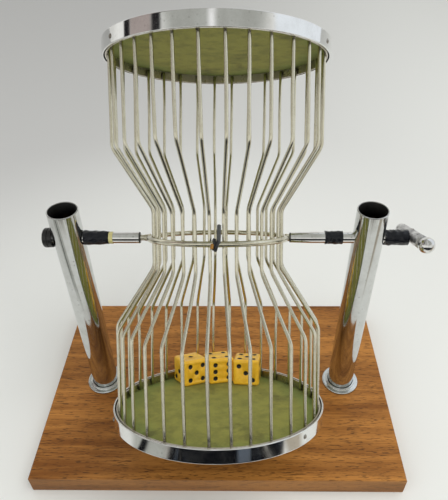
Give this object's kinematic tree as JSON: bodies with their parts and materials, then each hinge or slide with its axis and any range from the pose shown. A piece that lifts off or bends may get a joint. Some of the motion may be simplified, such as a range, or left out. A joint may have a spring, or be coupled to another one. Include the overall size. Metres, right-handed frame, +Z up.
{
  "type": "chuck a luck cage",
  "caption": "Hourglass wire dice cage on a cross axle between two tube posts on a wooden board, with a T handle and loose dice inside.",
  "frame": {"origin": "middle of the baseboard's underside", "axes": "+X along the axle towards the handle, +Y away from the player, +Z up"},
  "size_m": [0.3048, 0.2784, 0.3433],
  "materials": {
    "board_wood": "oiled reddish brown hardwood, fine grain, satin",
    "chrome": "bright plated, lightly pitted",
    "nickel_wire": "yellowed nickel plate, dark in the lines",
    "band_steel": "dull tinned strip",
    "rivet_steel": "plain domed heads",
    "screw_steel": "plain steel",
    "plug_wood": "raw turned wood",
    "disc_board": "dark painted fibreboard",
    "green_felt": "faded olive green felt",
    "black_tape": "wound insulating tape, glossy",
    "yellow_adhesive": "yellowed tape adhesive",
    "cap_plastic": "moulded black cap",
    "handle_chrome": "chrome, clouded where it is held",
    "tie_insulation": "black insulated wire, copper at the cut end",
    "die_amber": "mottled amber resin, black drilled pips"
  },
  "bodies": {
    "stand": {"baseboard": "board_wood", "post_left": "chrome", "post_right": "chrome", "post_flange_left": "chrome", "post_flange_right": "chrome", "post_plug_left": "plug_wood", "post_plug_right": "plug_wood", "post_screw_left": "screw_steel", "post_screw_right": "screw_steel"},
    "cage": {"hoop_top": "chrome", "hoop_bottom": "chrome", "inner_band_top": "band_steel", "inner_band_bottom": "band_steel", "hoop_rivets_top": "rivet_steel", "hoop_rivets_bottom": "rivet_steel", "end_disc_top": "disc_board", "end_disc_bottom": "disc_board", "felt_top": "green_felt", "felt_bottom": "green_felt", "waist_ring": "nickel_wire", "axle_rod_left": "nickel_wire", "axle_rod_right": "nickel_wire", "axle_tube_left": "chrome", "axle_tube_right": "chrome", "axle_cap": "cap_plastic", "tape_wrap_left": "black_tape", "tape_strip_left": "yellow_adhesive", "tape_band_right": "black_tape", "tape_wrap_right": "black_tape", "handle_bar": "handle_chrome", "handle_knob": "handle_chrome", "handle_grub_screw": "screw_steel", "wire_tie": "tie_insulation", "bar_pair_01": "nickel_wire", "bar_pair_02": "nickel_wire", "bar_pair_03": "nickel_wire", "bar_pair_04": "nickel_wire", "bar_pair_05": "nickel_wire", "bar_pair_06": "nickel_wire", "bar_pair_07": "nickel_wire", "bar_pair_08": "nickel_wire", "bar_pair_09": "nickel_wire", "bar_pair_10": "nickel_wire", "bar_pair_11": "nickel_wire", "bar_pair_12": "nickel_wire", "bar_pair_13": "nickel_wire", "bar_pair_14": "nickel_wire", "bar_pair_15": "nickel_wire", "bar_pair_16": "nickel_wire"},
    "die_left": {"die_left": "die_amber"},
    "die_middle": {"die_middle": "die_amber"},
    "die_right": {"die_right": "die_amber"}
  },
  "joints": [
    {"name": "cage_spin", "type": "hinge", "parent": "stand", "child": "cage", "pos_m": [0.0025, 0, 0.18692], "axis": [1, 0, 0], "continuous": true},
    {"name": "die_left_slide", "type": "slide", "parent": "cage", "child": "die_left", "axis": [0, 0.1357, 0.9907], "range_m": [0, 0.258]},
    {"name": "die_middle_slide", "type": "slide", "parent": "cage", "child": "die_middle", "axis": [0, 0.5358, 0.8443], "range_m": [0, 0.03]},
    {"name": "die_right_slide", "type": "slide", "parent": "cage", "child": "die_right", "axis": [0, 0.1357, 0.9907], "range_m": [0, 0.258]}
  ]
}
